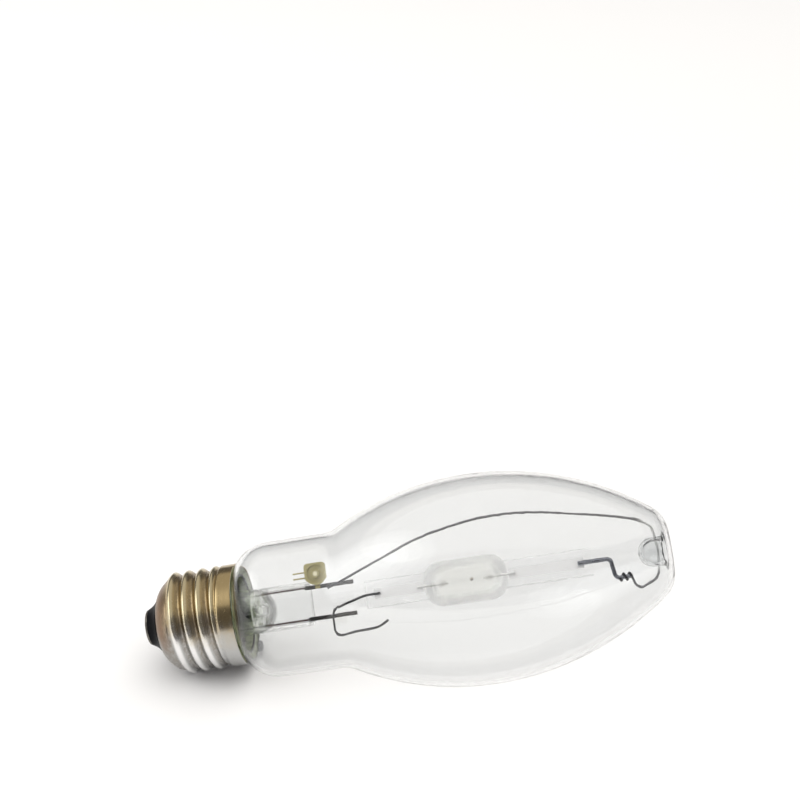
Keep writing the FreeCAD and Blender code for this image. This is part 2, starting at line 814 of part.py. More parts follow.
revolve(quartz, [
    (bore_start, 0),
    (bore_start, bore_neck),
    (bore_start + bore_turn, bore_radius, bore_arc, -1),
    (bore_finish - bore_turn, bore_radius),
    (bore_finish, bore_neck, bore_arc, -1),
    (bore_finish, 0),
], "Groove")

# Electrodes: a tungsten rod at each end of the chamber, with wire wound on it behind the tip.
rod_radius = size("rod_radius")
foil_flat = rod_radius + size("foil_thickness") * 0.5
rod_tips = {"base": bore_start + size("rod_reach"), "dome": bore_finish - size("rod_reach")}
rod_roots = {"base": bore_start - size("rod_embedment"), "dome": bore_finish + size("rod_embedment")}
electrodes = {
    "base": straight_rod("electrode_base", rod_roots["base"], rod_tips["base"], 0, 0, rod_radius),
    "dome": straight_rod("electrode_dome", rod_tips["dome"], rod_roots["dome"], 0, 0, rod_radius),
}
coil_radius = number("rod_radius") + number("coil_wire_radius") + number("seat_gap")
coil_pitch = 2 * number("coil_wire_radius") + number("seat_gap")
electrode_coils = []
for end, way in (("base", -1), ("dome", 1)):
    helix = Part.makeHelix(coil_pitch, coil_pitch * number("coil_turns"), coil_radius)
    near = rod_tips[end].value + way * number("coil_setback")
    helix.Placement = Placement(Vector(near, 0, 0), Rotation(Vector(0, 1, 0), 90 * way))
    electrode_coils.append(formed_piece(f"electrode_coil_{end}",
                                        round_wire(helix.Edges, number("coil_wire_radius"))))

# Foils: flat molybdenum strips, each welded to its rod at one end and to the outer lead at the other.
arc_lead_radius = size("arc_lead_radius")
arc_lead_across = rod_radius - arc_lead_radius
lead_inner_ends = {"base": pinch_starts["base"] + size("arc_lead_embedment"),
                   "dome": pinch_ends["dome"] - size("arc_lead_embedment")}
foils = {}
for end, way in (("base", 1), ("dome", -1)):
    near_lead = lead_inner_ends[end] - way * size("foil_lap")
    near_rod = rod_roots[end] + way * size("foil_lap")
    low, high = (near_lead, near_rod) if way > 0 else (near_rod, near_lead)
    foils[end] = new_body(f"foil_{end}")
    foil_sketch = new_sketch(foils[end], "YZ_Plane", low)
    half_foil = size("foil_width") * 0.5
    foil_back = rod_radius + size("foil_thickness")
    draw_outline(foil_sketch, [(rod_radius, -half_foil), (foil_back, -half_foil),
                               (foil_back, half_foil), (rod_radius, half_foil)])
    pad(foils[end], foil_sketch, high - low)

# Arc tube leads. The dome one is thick and steps down to the wrap.
dome_bend = pinch_ends["dome"].value + number("dome_lead_reach") * stretch.value
wrap_height = -number("wrap_drop")
lower_corner = dome_bend + number("dome_lead_slant")
arc_lead_dome = formed_piece("arc_lead_dome", round_wire(rounded_path([
    Vector(lead_inner_ends["dome"].value, arc_lead_across.value, 0),
    Vector(dome_bend, arc_lead_across.value, 0),
    Vector(lower_corner, arc_lead_across.value, wrap_height),
    Vector(lower_corner + number("wrap_length"), arc_lead_across.value, wrap_height),
], number("lead_bend")), arc_lead_radius.value))

# Dose: a bead of mercury and halides that clings to the chamber wall, on the -Y side.
dose_bead = document.addObject("Part::Sphere", "dose_bead")
dose_bead.Label = "dose_bead"
bind(dose_bead, "Radius", size("bead_radius"))
bead_across = bore_radius - size("bead_radius") - size("seat_gap")
dose_bead.Placement = Placement(Vector(chamber_middle.value + number("bead_offset"), -bead_across.value, 0), Rotation())

def mount_point(distance, across, up):
    """A point of a wire above the press, stretched along the lamp like the rest of the mount."""
    return Vector(above_press(distance * grid).value, across, up * grid)


# Frame wire: welded across post A, bowed past the arc tube, sprung round the dimple on the +Y side and
# wound on the end of the arc tube's dome lead.
wire_radius = number("wire_radius")
gap = number("seat_gap")
post_face = -(number("post_radius") + wire_radius + gap)
hook = nub_radius.value + wire_radius + gap
wrap_radius = arc_lead_radius.value + wire_radius + gap
wrap = Part.makeHelix(number("wrap_pitch"), 2 * number("wrap_pitch"), wrap_radius)
wrap_end = lower_corner + number("wrap_length") - wire_radius
wrap.Placement = Placement(
    Vector(wrap_end, arc_lead_across.value, wrap_height),
    Rotation(Vector(0, -1, 0), Vector(0, 0, 1), Vector(-1, 0, 0), "ZXY"))
wrap_edge = wrap.Edges[0]
wrap_entry = wrap_edge.valueAt(wrap_edge.FirstParameter)
wrap_way = wrap_edge.tangentAt(wrap_edge.FirstParameter)
frame_path = rounded_path([
    mount_point(4.9, post_face, 3.2),
    mount_point(12.2, post_face, 6.0),
    mount_point(29.9, -0.3 * grid, 12.8),
    mount_point(45.6, 0, 15.4),
    mount_point(58.6, 0.1 * grid, 14.7),
    mount_point(76.5, 0.4 * grid, 11.1),
    mount_point(84.4, 1.2 * grid, 9.1),
    mount_point(88.2, 2.4 * grid, 6.7),
    mount_point(88.8, hook, 2.3),
    mount_point(88.7, hook, -2.3),
    mount_point(87.9, 2.1 * grid, -6.2),
    mount_point(85.9, 0.4 * grid, -7.2),
    mount_point(83.3, -0.2 * grid, -8.2),
    wrap_entry - wrap_way * number("wrap_tail"),
    wrap_entry,
], LARGEST_BEND * grid)
frame_wire = formed_piece("frame_wire", round_wire(frame_path + wrap.Edges, wire_radius))

# Base lead: a thin wire from the foil that bends down across post B and comes back beside the pinch.
base_lead_across = number("rod_radius") - number("base_lead_radius")
post_b_face = -(number("post_radius") + number("base_lead_radius") + gap)
arc_lead_base = formed_piece("arc_lead_base", round_wire(rounded_path([
    Vector(lead_inner_ends["base"].value, base_lead_across, 0),
    mount_point(13.6, base_lead_across, 0),
    mount_point(8.6, post_b_face, -1.4),
    mount_point(6.0, post_b_face, -2.3),
    mount_point(5.4, post_b_face, -4.0),
    mount_point(5.3, post_b_face, -9.4),
    mount_point(9.8, post_b_face, -8.7),
    mount_point(16.2, post_b_face, -8.5),
    mount_point(19.0, post_b_face, -7.0),
]), number("base_lead_radius")))

# Getter: a small pressed dish with a raised centre, on a tab that is welded to post A.
tab_front = size("post_radius") + size("seat_gap") + size("tab_thickness")
dish_front = tab_front + size("getter_height")
getter_station = size("press_end") + size("getter_offset")
getter_centre = size("post_height") + size("getter_rise")
half_length = size("getter_length") * 0.5
half_width = size("getter_width") * 0.5
corner = size("getter_corner")
foot_curve = size("getter_foot_curve")
dish_low = getter_station - half_length
dish_high = getter_station + half_length
getter_dish = new_body("getter_dish")
dish_sketch = new_sketch(getter_dish, "XZ_Plane", tab_front)
draw_outline(dish_sketch, [
    (dish_low + corner, getter_centre + half_width),
    (dish_low, getter_centre + half_width - corner, corner, 1),
    (dish_low, getter_centre - size("getter_flank")),
    (getter_station, getter_centre - half_width, foot_curve, 1),
    (dish_high, getter_centre - size("getter_flank"), foot_curve, 1),
    (dish_high, getter_centre + half_width - corner),
    (dish_high - corner, getter_centre + half_width, corner, 1),
])
pad(getter_dish, dish_sketch, size("getter_height"))
moat_sketch = new_sketch(getter_dish, "XZ_Plane", dish_front)
draw_circle(moat_sketch, getter_station, getter_centre, half_width - size("getter_rim"))
draw_circle(moat_sketch, getter_station, getter_centre, size("getter_boss_radius"))
moat = getter_dish.newObject("PartDesign::Pocket", "getter_moat")
moat.Profile = moat_sketch
bind(moat, "Length", size("getter_moat_depth"))
boss_sketch = new_sketch(getter_dish, "XZ_Plane", dish_front)
draw_circle(boss_sketch, getter_station, getter_centre, size("getter_boss_radius"))
pad(getter_dish, boss_sketch, size("getter_boss_height"))

getter_tab = new_body("getter_tab")
tab_sketch = new_sketch(getter_tab, "XZ_Plane", tab_front - size("tab_thickness"))
tab_left = getter_station - size("tab_width") * 0.5
tab_right = getter_station + size("tab_width") * 0.5
draw_outline(tab_sketch, [
    (tab_left, size("post_height") - size("post_radius")),
    (tab_right, size("post_height") - size("post_radius")),
    (tab_right, getter_centre),
    (tab_left, getter_centre),
])
pad(getter_tab, tab_sketch, size("tab_thickness"))

# Getter hairpin: a thin wire bent double on the back of the dish, with both legs past the dish's edge.
prong_across = -(tab_front.value - number("prong_radius") - gap)
prong_half = number("prong_pitch") / 2
prong_tip = dish_low.value - number("prong_reach")
prong_bend = dish_low.value + number("prong_lap")
prong_low = getter_centre.value - prong_half
prong_high = getter_centre.value + prong_half
getter_hairpin = formed_piece("getter_hairpin", round_wire([
    Part.LineSegment(Vector(prong_tip, prong_across, prong_low),
                     Vector(prong_bend, prong_across, prong_low)).toShape(),
    Part.Arc(Vector(prong_bend, prong_across, prong_low),
             Vector(prong_bend + prong_half, prong_across, getter_centre.value),
             Vector(prong_bend, prong_across, prong_high)).toShape(),
    Part.LineSegment(Vector(prong_bend, prong_across, prong_high),
                     Vector(prong_tip, prong_across, prong_high)).toShape(),
], number("prong_radius")))

# Side solder: a blob on the rim over the end of outer lead A, against the glass.
blob = document.addObject("Part::Ellipsoid", "side_solder_whole")
bind(blob, "Radius1", size("solder_height"))
bind(blob, "Radius2", size("solder_reach"))
bind(blob, "Radius3", size("solder_radius"))
blob_centre = around(rim_station - number("solder_setback"),
                     number("rim_radius") + number("solder_rise"), solder_turn)
blob.Placement = Placement(blob_centre, Rotation(Vector(1, 0, 0), solder_turn - 90))
core = document.addObject("Part::Cylinder", "solder_seat")
bind(core, "Radius", size("rim_radius") + size("seat_gap"))
bind(core, "Height", size("rim_band"))
core.Placement = Placement(Vector(number("shell_length") - number("rim_band"), 0, 0),
                           Rotation(Vector(0, 1, 0), 90))

# Lay the lamp down. The line under the thread crest and the belly gives the tilt, and the lamp's own box
# gives the foot: its lowest point is at Z = 0, and X and Y are centred.
roll = number("mount_roll")
lowest_turn = (270 + roll) / 360 - 0.25
crest_station = number("first_crest") + number("thread_pitch") * lowest_turn
to_belly = Vector(belly_station.value - crest_station,
                  belly_base_centre.value - number("thread_crest_radius"), 0)
tilt = math.atan2(to_belly.y, to_belly.x) + math.asin(belly_base_arc.value / to_belly.Length)
turned = Rotation(Vector(0, 1, 0), -math.degrees(tilt)).multiply(Rotation(Vector(1, 0, 0), -roll))
document.recompute()
outside = Part.makeCompound([piece.Shape for piece in (screw_shell, envelope, contact_plate)])
outside.Placement = Placement(Vector(), turned)
box = outside.optimalBoundingBox(False, False)
foot = Vector(-(box.XMin + box.XMax) / 2, -(box.YMin + box.YMax) / 2, -box.ZMin)
lie = Placement(foot, turned)

for item in document.Objects:
    if item.TypeId == "PartDesign::Body" or item.TypeId.startswith("Part::"):
        item.Placement = lie.multiply(item.Placement)


def cut_round(label, whole, inner):
    """What is left of a piece that was cast, pressed or flowed round the pieces inside it."""
    for count, tool in enumerate(inner, start=1):
        step = document.addObject("Part::Cut", label if count == len(inner) else f"{label}_step")
        step.Base = whole
        step.Tool = tool
        whole = step
    whole.Label = label
    return whole


contact_solder = cut_round("contact_solder", contact_solder_whole, [outer_lead_b])
insulator = cut_round("insulator", insulator_whole, [outer_lead_b])
basing_cement = cut_round("basing_cement", cement_whole, [outer_lead_a])
stem = cut_round("stem", stem_whole, inner_leads + press_leads + [outer_lead_a, outer_lead_b])
arc_tube = cut_round("arc_tube", quartz,
                     [electrodes["base"], electrodes["dome"], foils["base"], foils["dome"],
                      arc_lead_base, arc_lead_dome])
side_solder = cut_round("side_solder", blob, [core, bulb_space])

PIECES = [
    screw_shell, insulator, contact_plate, contact_solder, side_solder, basing_cement,
    envelope, stem, exhaust_tube, *inner_leads, *press_leads, outer_lead_a, outer_lead_b,
    frame_wire, getter_dish, getter_tab, getter_hairpin,
    arc_tube, electrodes["base"], electrodes["dome"], *electrode_coils,
    foils["base"], foils["dome"], arc_lead_base, arc_lead_dome, dose_bead,
]

document.recompute()
failed = [item.Name for item in document.Objects if "Invalid" in item.State or "Error" in item.State]
if failed:
    raise RuntimeError("failed: " + ", ".join(failed))
for piece in PIECES:
    if piece.Shape.isNull() or not piece.Shape.isValid() or len(piece.Shape.Solids) != 1:
        raise RuntimeError(f"{piece.Label} is not one valid solid")

os.makedirs("parts", exist_ok=True)
for piece in PIECES:
    piece.Shape.exportStep(f"parts/{piece.Label}.step")
    print(f"{piece.Label:22s} {piece.Shape.Volume:10.2f} mm3")
print(f"tilt {math.degrees(tilt):.2f} degrees")
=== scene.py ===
import math

import bpy
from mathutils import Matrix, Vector

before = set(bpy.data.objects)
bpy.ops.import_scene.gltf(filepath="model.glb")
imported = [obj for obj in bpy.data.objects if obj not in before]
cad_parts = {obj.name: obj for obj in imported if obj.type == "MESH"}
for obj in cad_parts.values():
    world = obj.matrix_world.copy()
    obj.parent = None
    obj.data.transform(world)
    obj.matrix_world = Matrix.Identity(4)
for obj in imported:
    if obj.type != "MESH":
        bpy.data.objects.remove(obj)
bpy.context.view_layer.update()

# Screw shell
# Brass sheet, drawn to a cup, rolled to a right-hand thread and nickel-plated. The rolls leave fine rings
# round it. The plating holds soil in the roots of the thread, and the crests are rubbed bright. A warm
# reflection is painted on the upper side, a darker brown painted reflection on the upper side of the
# bottom end, and a painted highlight along the crests.

LAMP_FOOT = Vector((-0.0670436, 0.0, 0.0107575))
LAMP_TILT = 11.15
MOUNT_ROLL = 32.5
MILLIMETRE = 0.001
NOISE_MIDDLE = 0.5

THREAD_ROOT = 12.05
THREAD_CREST = 13.15
SOIL_RADII = (THREAD_ROOT - 0.1, THREAD_ROOT + 0.7)
CREST_WEAR_AND_HIGHLIGHT_RADII = (THREAD_CREST - 0.6, THREAD_CREST - 0.1)
RIM_BAND_STATIONS = (20.5, 22.0)
PAINTED_BROWN_REFLECTION_STATIONS = (6.5, 9.0)
PAINTED_WARM_REFLECTION_HEIGHTS = (0.013, 0.023)
PAINTED_BROWN_REFLECTION_HEIGHTS = (0.009, 0.016)

NICKEL = (0.47, 0.47, 0.46, 1.0)
NICKEL_IN_PAINTED_WARM_REFLECTION = (0.44, 0.34, 0.18, 1.0)
CREST_WEAR_AND_PAINTED_HIGHLIGHT = (0.86, 0.85, 0.84, 1.0)
CREST_WEAR_AND_HIGHLIGHT_IN_WARM_REFLECTION = (0.60, 0.52, 0.34, 1.0)
NICKEL_IN_PAINTED_BROWN_REFLECTION = (0.25, 0.14, 0.08, 1.0)
THREAD_SOIL = (0.16, 0.12, 0.08, 1.0)


class Flow:
    """What one socket of a finish gives. Sums and products of it are worked out over the surface."""

    def __init__(self, finish, socket):
        self.finish = finish
        self.socket = socket

    def math(self, operation, *values):
        return self.finish.node("ShaderNodeMath", {"operation": operation}, dict(enumerate(values)))

    def __add__(self, other):
        return self.math("ADD", self, other)

    def __sub__(self, other):
        return self.math("SUBTRACT", self, other)

    def __rsub__(self, other):
        return self.math("SUBTRACT", other, self)

    def __mul__(self, other):
        return self.math("MULTIPLY", self, other)

    def __pow__(self, other):
        return self.math("POWER", self, other)

    def __abs__(self):
        return self.math("ABSOLUTE", self)

    __radd__ = __add__
    __rmul__ = __mul__

    def larger(self, other):
        return self.math("MAXIMUM", self, other)

    def wander(self, width):
        """A noise turned into a shift of that whole width, half of it to each side."""
        return (self - NOISE_MIDDLE) * width


class Finish:
    """A finish for one of the lamp's materials, built round its surface shader."""

    # The places of the colour sockets on a blend of two colours.
    SHARE = 0
    FIRST_COLOUR = 6
    SECOND_COLOUR = 7
    BLENDED_COLOUR = 2

    def __init__(self, name, **constants):
        self.material = bpy.data.materials.new(name)
        self.material.use_nodes = True
        self.tree = self.material.node_tree
        self.shader = self.tree.nodes["Principled BSDF"]
        for socket, value in constants.items():
            self.shader.inputs[socket.replace("_", " ")].default_value = value

    def node(self, kind, settings, values, output=0):
        """One node: its settings are set first, then its sockets get values or links."""
        made = self.tree.nodes.new(kind)
        for name, value in settings.items():
            setattr(made, name, value)
        for socket, value in values.items():
            if isinstance(value, Flow):
                self.tree.links.new(value.socket, made.inputs[socket])
            else:
                made.inputs[socket].default_value = value
        return Flow(self, made.outputs[output])

    def in_room(self):
        """Places in metres, as the lamp lies on the table."""
        return self.node("ShaderNodeTexCoord", {}, {}, "Object")

    def along_lamp(self):
        """Places in mm in the lamp's own frame: X from the contact to the dome, Z from post B to post A."""
        turn = (math.radians(-MOUNT_ROLL), math.radians(-LAMP_TILT), 0.0)
        return self.node("ShaderNodeMapping", {"vector_type": "TEXTURE"},
                         {"Vector": self.in_room(), "Location": LAMP_FOOT, "Rotation": turn,
                          "Scale": (MILLIMETRE, MILLIMETRE, MILLIMETRE)})

    def part(self, place, axis):
        return self.node("ShaderNodeSeparateXYZ", {}, {"Vector": place}, axis)

    def joined(self, x, y, z):
        return self.node("ShaderNodeCombineXYZ", {}, {"X": x, "Y": y, "Z": z})

    def noise(self, place, scale, detail=3.0, roughness=0.5):
        return self.node("ShaderNodeTexNoise", {},
                         {"Vector": place, "Scale": scale, "Detail": detail, "Roughness": roughness})

    def step(self, value, low, high):
        """A soft step from 0 at low to 1 at high."""
        return self.node("ShaderNodeMapRange", {"interpolation_type": "SMOOTHSTEP"},
                         {"Value": value, "From Min": low, "From Max": high})

    def blend(self, share, first, second):
        """The colour first where share is 0, second where it is 1."""
        sockets = {self.SHARE: share, self.FIRST_COLOUR: first, self.SECOND_COLOUR: second}
        return self.node("ShaderNodeMix", {"data_type": "RGBA"}, sockets, self.BLENDED_COLOUR)

    def relief(self, height, strength, distance=0.0001):
        """Bumps of the given height, that far in metres where the strength is 1, tilt the surface."""
        bumps = {"Height": height, "Strength": strength, "Distance": distance}
        self.drive("Normal", self.node("ShaderNodeBump", {}, bumps))

    def drive(self, socket, flow):
        self.tree.links.new(flow.socket, self.shader.inputs[socket])

    def dress(self, *nodes):
        for name in nodes:
            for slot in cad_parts[name].material_slots:
                slot.material = self.material


cap = Finish("nickel_plated_brass", Metallic=1.0, IOR=1.9)
place = cap.along_lamp()
station = cap.part(place, "X")
across = cap.part(place, "Y")
up = cap.part(place, "Z")
height = cap.part(cap.in_room(), "Z")
radius = (across * across + up * up) ** 0.5
rings = cap.noise(cap.joined(station * 5.0, radius * 5.0, 0.0), 1.0, detail=2.0, roughness=0.6)
blotches = cap.noise(place, 0.22, detail=4.0, roughness=0.6)
scuffs = cap.noise(cap.joined(station * 0.8, across * 3.0, up * 0.5), 1.6, detail=5.0, roughness=0.7)
# A warm reflection painted on the upper side of the shell: the tint follows height above the table.
painted_warm_reflection = cap.step(height + blotches.wander(0.012), *PAINTED_WARM_REFLECTION_HEIGHTS)
in_root = 1 - cap.step(radius, *SOIL_RADII)
# The crests are rubbed bright, and their lighter colour also stands in as a painted highlight along them.
rubbed = cap.step(radius, *CREST_WEAR_AND_HIGHLIGHT_RADII) * (1 - cap.step(station, *RIM_BAND_STATIONS))
at_bottom = 1 - cap.step(station + blotches.wander(3.0), *PAINTED_BROWN_REFLECTION_STATIONS)
plated = cap.blend(painted_warm_reflection, NICKEL, NICKEL_IN_PAINTED_WARM_REFLECTION)
bright = cap.blend(painted_warm_reflection, CREST_WEAR_AND_PAINTED_HIGHLIGHT, CREST_WEAR_AND_HIGHLIGHT_IN_WARM_REFLECTION)
# A darker brown reflection painted on the upper side of the shell's bottom end.
painted_brown_reflection = at_bottom * cap.step(height + blotches.wander(0.010), *PAINTED_BROWN_REFLECTION_HEIGHTS)
clean = cap.blend(painted_brown_reflection * 0.85, cap.blend(rubbed, plated, bright), NICKEL_IN_PAINTED_BROWN_REFLECTION)
soiled = in_root * cap.step(scuffs, 0.25, 0.70) * 0.8
cap.drive("Base Color", cap.blend(soiled, clean, THREAD_SOIL))
cap.drive("Roughness", 0.16 + rings * 0.10 + cap.step(scuffs, 0.5, 0.8) * 0.14 + in_root * 0.12)
cap.relief(rings * 0.6 + blotches * 0.4, strength=0.12)
cap.dress("screw_shell")

# Insulator
# Black glass, melted in the bottom of the shell round the eyelet. It is smooth, with the shallow waves
# of a casting and a few dull rub marks where lamp holders have touched it.

BLACK_GLASS = (0.008, 0.008, 0.009, 1.0)
RUBBED_BLACK_GLASS = (0.030, 0.029, 0.028, 1.0)

black_glass = Finish("black_cast_glass", IOR=1.52, Specular_IOR_Level=0.012)
place = black_glass.along_lamp()
waves = black_glass.noise(place, 0.5, detail=2.0)
rubs = black_glass.noise(place, 2.4, detail=6.0, roughness=0.7)
rubbed = black_glass.step(rubs, 0.56, 0.74)
black_glass.drive("Base Color", black_glass.blend(rubbed, BLACK_GLASS, RUBBED_BLACK_GLASS))
black_glass.drive("Roughness", 0.32 + rubbed * 0.25)
black_glass.relief(waves * 0.8 + rubs * 0.2, strength=0.35, distance=0.0002)
black_glass.dress("insulator")

# Centre contact
# A stamped brass plate, plated like the shell, with its eyelet pressed into the insulator. Solder fills
# the eyelet and domes over it; both are greyed by arcing and by the holder's spring.

CONTACT_METAL = (0.20, 0.19, 0.17, 1.0)
BURNED_CONTACT = (0.09, 0.085, 0.08, 1.0)
BRIGHT_SOLDER = (0.66, 0.66, 0.68, 1.0)
DULL_SOLDER = (0.46, 0.46, 0.47, 1.0)

contact = Finish("contact_plate_metal", Metallic=1.0)
place = contact.along_lamp()
grain = contact.noise(place, 3.5, detail=4.0, roughness=0.6)
burns = contact.step(contact.noise(place, 0.7), 0.48, 0.70)
contact.drive("Base Color", contact.blend(burns, CONTACT_METAL, BURNED_CONTACT))
contact.drive("Roughness", 0.30 + grain * 0.18 + burns * 0.15)
contact.relief(grain, strength=0.3)
contact.dress("contact_plate")

solder = Finish("flowed_solder", Metallic=1.0)
place = solder.along_lamp()
crystals = solder.noise(place, 4.0, detail=5.0, roughness=0.65)
frost = solder.step(solder.noise(place, 1.2, detail=2.0), 0.40, 0.65)
solder.drive("Base Color", solder.blend(frost, BRIGHT_SOLDER, DULL_SOLDER))
solder.drive("Roughness", 0.22 + frost * 0.22 + crystals * 0.08)
lumps = solder.noise(place, 0.9, detail=2.0)
solder.relief(crystals * 0.4 + lumps * 0.6, strength=0.5, distance=0.0002)
solder.dress("contact_solder", "side_solder")

# Basing cement
# Marble flour and shellac, pressed into the rim band and baked until it grips the neck. It is sandy,
# olive brown with darker patches, and shows only through the glass.

OLIVE_CEMENT = (0.25, 0.29, 0.15, 1.0)
DARK_CEMENT = (0.11, 0.13, 0.05, 1.0)

cement = Finish("basing_cement_baked", Roughness=0.9)
place = cement.along_lamp()
sand = cement.noise(place, 6.0, detail=6.0, roughness=0.75)
baked = cement.step(cement.noise(place, 0.5), 0.35, 0.70)
cement.drive("Base Color", cement.blend(baked, OLIVE_CEMENT, DARK_CEMENT))
cement.relief(sand, strength=0.6, distance=0.0002)
cement.dress("basing_cement")

# Outer bulb
# Clear hard glass, blown in a mould and fire-polished, with the dimple pushed in while the dome was soft.
# It has the faint lengthwise flow of blown glass, and a trace of dust that dulls it here and there.

BULB_GLASS = (0.890, 0.898, 0.900, 1.0)
DUSTY_BULB_GLASS = (0.870, 0.878, 0.882, 1.0)

bulb_glass = Finish("clear_blown_glass", IOR=1.47, Transmission_Weight=1.0)
place = bulb_glass.along_lamp()
station = bulb_glass.part(place, "X")
across = bulb_glass.part(place, "Y")
up = bulb_glass.part(place, "Z")
flow_lines = bulb_glass.noise(bulb_glass.joined(station * 0.02, across * 0.12, up * 0.12), 1.0, detail=2.0)
dust = bulb_glass.step(bulb_glass.noise(place, 0.35, detail=6.0, roughness=0.75), 0.58, 0.80)
bulb_glass.drive("Base Color", bulb_glass.blend(dust, BULB_GLASS, DUSTY_BULB_GLASS))
bulb_glass.drive("Roughness", dust * 0.03)
bulb_glass.relief(flow_lines, strength=0.05, distance=0.001)
bulb_glass.dress("envelope")

# Stem and exhaust tube
# Soft glass. The flare is spun from tube, its mouth is fused to the neck, and the press is squeezed flat
# round the leads; tool marks and fine bubbles stay in it. Near the rim the flare is painted a dark, mottled
# olive: painted shade from inside the shell, in the colour of the cement behind it. The press is nearly
# clear.

PAINTED_SHADE_STATIONS = (26.5, 31.5)
CLEAR_STEM_GLASS = (0.98, 0.985, 0.98, 1.0)
MARKED_STEM_GLASS = (0.93, 0.95, 0.94, 1.0)
PALE_PAINTED_SHADE = (0.40, 0.50, 0.18, 1.0)
DARK_PAINTED_SHADE = (0.05, 0.09, 0.02, 1.0)

stem_glass = Finish("green_stem_glass", IOR=1.52, Transmission_Weight=1.0)
place = stem_glass.along_lamp()
station = stem_glass.part(place, "X")
across = stem_glass.part(place, "Y")
up = stem_glass.part(place, "Z")
tool_marks = stem_glass.noise(stem_glass.joined(station * 0.9, across * 0.5, up * 0.5), 1.0)
mottle = stem_glass.step(stem_glass.noise(place, 0.55, detail=4.0, roughness=0.7), 0.38, 0.62)
bubbles = stem_glass.step(stem_glass.noise(place, 3.0, detail=2.0), 0.66, 0.76)
# Painted shade: towards the rim the glass turns a dark mottled olive, for the shade inside the shell.
painted_shade = 1 - stem_glass.step(station + tool_marks.wander(4.0), *PAINTED_SHADE_STATIONS)
clear = stem_glass.blend(tool_marks, CLEAR_STEM_GLASS, MARKED_STEM_GLASS)
olive_painted_shade = stem_glass.blend(mottle, PALE_PAINTED_SHADE, DARK_PAINTED_SHADE)
stem_glass.drive("Base Color", stem_glass.blend(painted_shade, clear, olive_painted_shade))
stem_glass.drive("Alpha", 0.45 + painted_shade * 0.4)
stem_glass.drive("Roughness", 0.02 + bubbles * 0.15)
stem_glass.relief(tool_marks * 0.7 + bubbles * 0.3, strength=0.2, distance=0.0005)
stem_glass.dress("stem", "exhaust_tube")

# Posts and leads
# Thick nickel-iron posts, burned nearly black where the press was closed on them, thin copper-coated
# leads in the press, and nickel wires that run down to the cap and out of the arc tube's base end.

WETTED = 0.00003
BURNED_STATIONS = (45.0, 58.0)
BURNED_POST = (0.02, 0.02, 0.019, 1.0)
OXIDISED_POST = (0.045, 0.042, 0.036, 1.0)
DARK_COPPER = (0.02, 0.012, 0.011, 1.0)
RED_COPPER = (0.09, 0.04, 0.034, 1.0)
DARK_LEAD = (0.035, 0.035, 0.036, 1.0)
DULL_LEAD = (0.09, 0.09, 0.093, 1.0)


def wet(*nodes):
    """Swell a metal piece by a hair, so that the glass that is fused to it ends inside its skin."""
    for name in nodes:
        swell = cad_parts[name].modifiers.new("wetted", "DISPLACE")
        swell.strength = WETTED
        swell.mid_level = 0.0


post = Finish("oxidised_post_wire", Metallic=0.2, Specular_IOR_Level=0.15)
place = post.along_lamp()
scale_marks = post.noise(place, 2.2, detail=5.0, roughness=0.7)
oxidised = post.step(post.part(place, "X") + scale_marks * 4.0, *BURNED_STATIONS)
post.drive("Base Color", post.blend(oxidised, BURNED_POST, OXIDISED_POST))
post.drive("Roughness", 0.38 + scale_marks * 0.25)
post.relief(scale_marks, strength=0.4)
post.dress("inner_lead_a", "inner_lead_b")
wet("inner_lead_a", "inner_lead_b")

press_wire = Finish("copper_coated_wire", Metallic=1.0)
place = press_wire.along_lamp()
oxide = press_wire.noise(place, 1.6, detail=4.0, roughness=0.6)
press_wire.drive("Base Color", press_wire.blend(oxide, DARK_COPPER, RED_COPPER))
press_wire.drive("Roughness", 0.35 + oxide * 0.2)
press_wire.dress("press_lead_a", "press_lead_b")
wet("press_lead_a", "press_lead_b")

lead = Finish("drawn_nickel_wire", Metallic=1.0)
place = lead.along_lamp()
draw_marks = lead.noise(place, 5.0)
dulled = lead.noise(place, 0.4)
lead.drive("Base Color", lead.blend(dulled, DARK_LEAD, DULL_LEAD))
lead.drive("Roughness", 0.28 + draw_marks * 0.2)
lead.relief(draw_marks, strength=0.2)
lead.dress("outer_lead_a", "outer_lead_b", "arc_lead_base")
wet("outer_lead_a", "outer_lead_b", "arc_lead_base")

# Arc tube
# Fused quartz. The chamber is clear with a warm tint; the pinches and the chamber's ends are slightly
# frosted, with the ripples of the jaws that closed them.

CHAMBER_MIDDLE = 83.9
CHAMBER_HALF = 10.5
FROSTED_REACH = (CHAMBER_HALF - 3.5, CHAMBER_HALF + 1.5)
CHAMBER_QUARTZ = (0.98, 0.98, 0.945, 1.0)
PINCHED_QUARTZ = (1.0, 1.0, 1.0, 1.0)

quartz = Finish("fused_quartz", IOR=1.46, Transmission_Weight=1.0, Alpha=0.42)
place = quartz.along_lamp()
station = quartz.part(place, "X")
across = quartz.part(place, "Y")
up = quartz.part(place, "Z")
jaw_ripples = quartz.noise(quartz.joined(station * 0.9, across * 0.3, up * 0.3), 1.0)
clouds = quartz.noise(place, 0.6, detail=4.0, roughness=0.6)
frosted = quartz.step(abs(station - CHAMBER_MIDDLE) + clouds * 3.0, *FROSTED_REACH)
quartz.drive("Base Color", quartz.blend(frosted, CHAMBER_QUARTZ, PINCHED_QUARTZ))
quartz.drive("Roughness", 0.07 + frosted * (0.05 + jaw_ripples * 0.06))
quartz.relief(jaw_ripples * 0.7 + clouds * 0.3, strength=0.5, distance=0.0005)
quartz.dress("arc_tube")

# Electrodes, foils and the arc tube's dome lead
# Swaged tungsten rods with tungsten wire wound on them, thin pale molybdenum foils sealed in the pinches,
# painted a diffuse near-white as a painted reflection, and a thick molybdenum lead that is grey outside the
# quartz.

